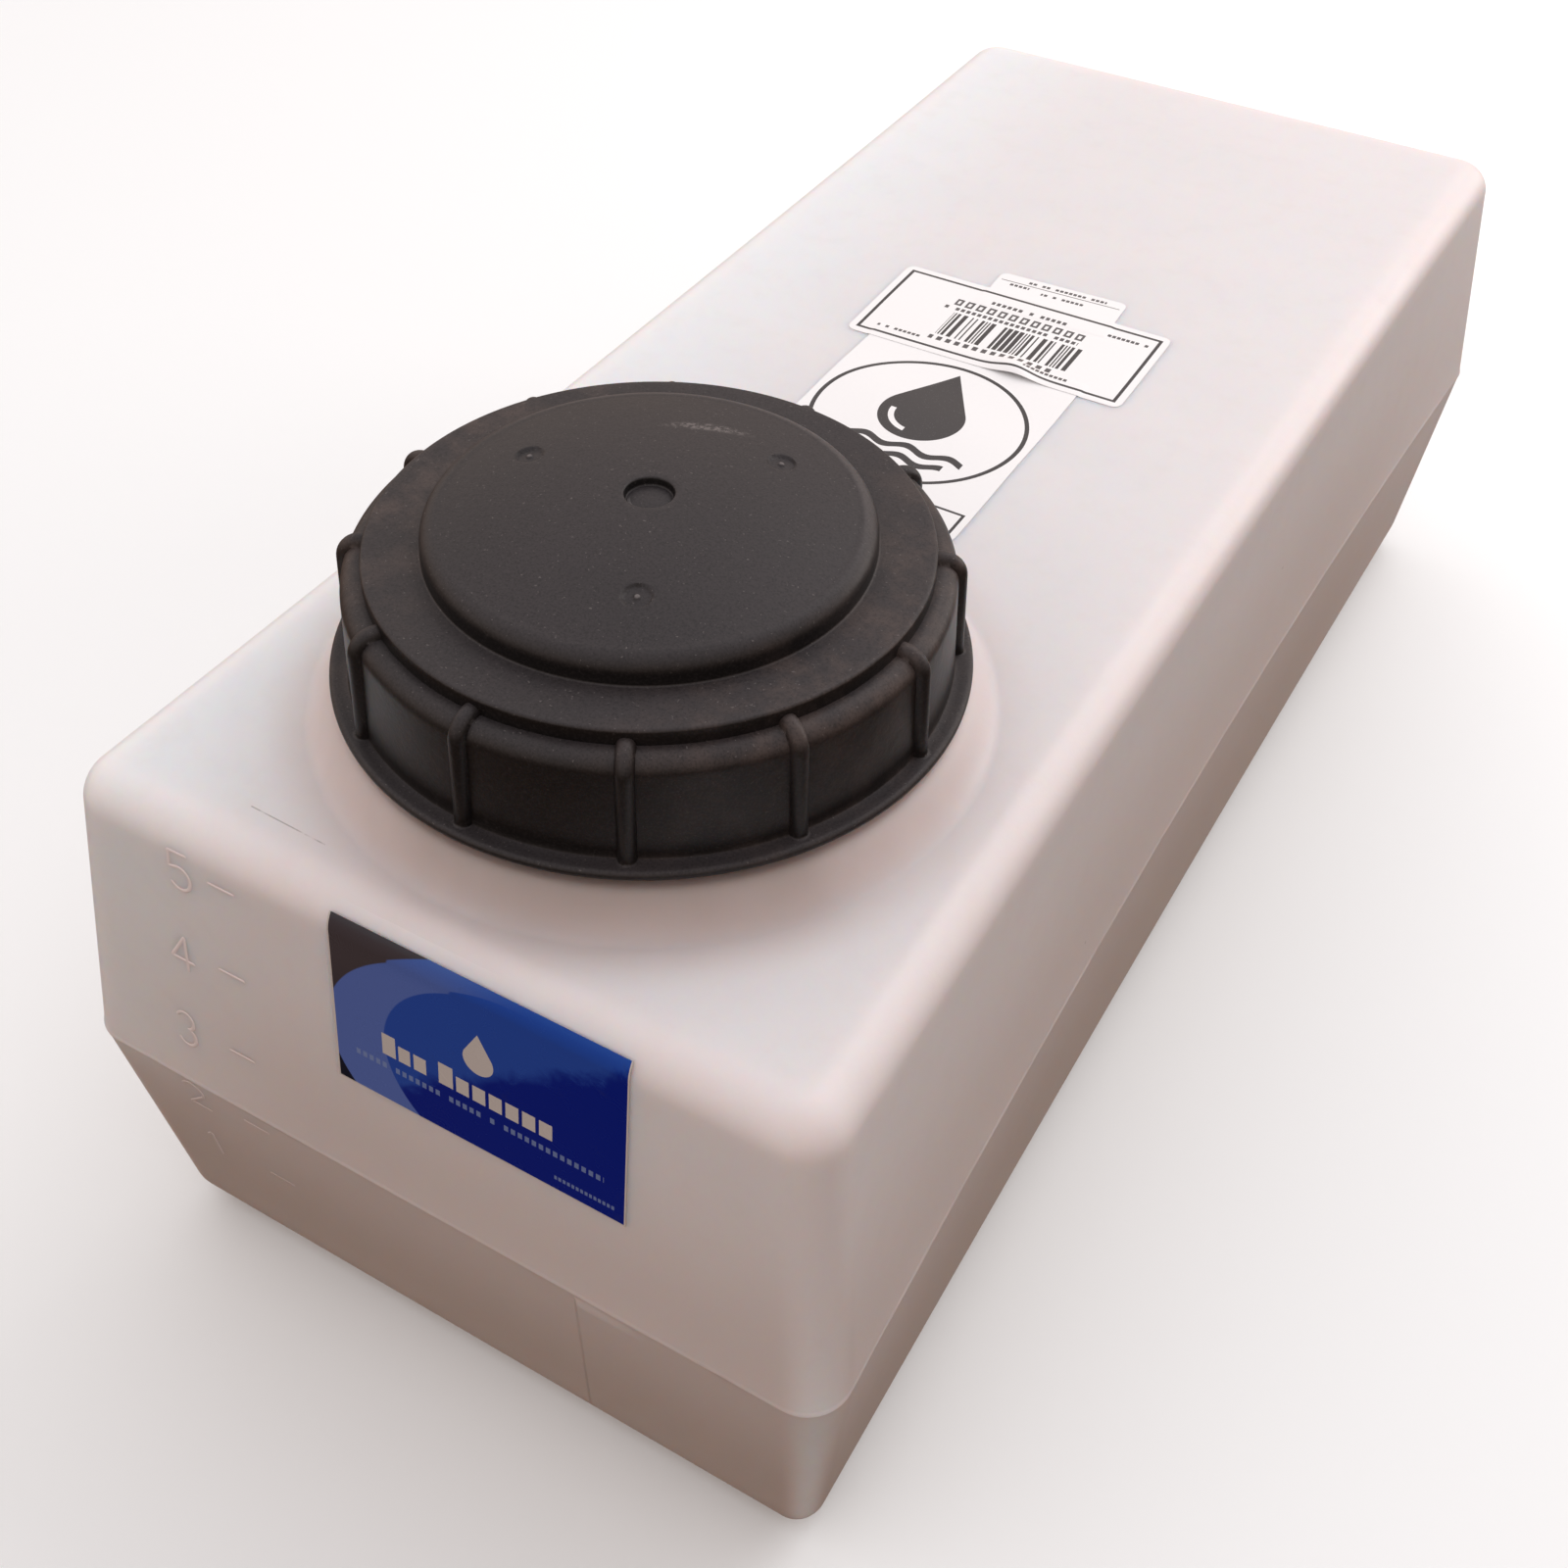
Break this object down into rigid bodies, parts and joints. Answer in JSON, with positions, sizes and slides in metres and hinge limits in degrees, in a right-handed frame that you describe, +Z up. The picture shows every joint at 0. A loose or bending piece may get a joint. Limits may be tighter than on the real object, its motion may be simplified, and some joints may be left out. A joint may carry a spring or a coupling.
{
  "type": "fresh water tank",
  "caption": "Rectangular milky plastic water tank with tapered walls, a moulded threaded neck and a large ribbed black screw lid near one end.",
  "frame": {"origin": "centre of the tank's base, on the surface it stands on", "axes": "+Z up, Y along the tank's long side with the lid and the front label at the -Y end, X across its width"},
  "size_m": [0.2464, 0.5736, 0.2544],
  "materials": {
    "polyethylene": "milky, slightly translucent rotomoulded polyethylene",
    "lid_plastic": "fine satin black polypropylene",
    "gasket_rubber": "soft white food-grade rubber",
    "printed_vinyl": "gloss printed vinyl",
    "label_stock": "semi-gloss white label stock with black print"
  },
  "bodies": {
    "tank": {"tank_shell": "polyethylene", "front_label": "printed_vinyl", "certification_label": "label_stock", "barcode_label": "label_stock", "inspection_label": "label_stock"},
    "gasket": {"lid_gasket": "gasket_rubber"},
    "screw_lid": {"lid": "lid_plastic"}
  },
  "joints": [
    {"name": "lid_lift", "type": "slide", "parent": "tank", "child": "gasket", "axis": [0, 0, 1], "range_m": [0, 0.0361]},
    {"name": "lid_turn", "type": "hinge", "parent": "gasket", "child": "screw_lid", "pos_m": [0, -0.1696, 0.235], "axis": [0, 0, 1], "range_deg": [0, 1620]}
  ],
  "couplings": [
    {"joint": "lid_lift", "follows": "lid_turn", "m_per_rad": 0.0012732}
  ]
}
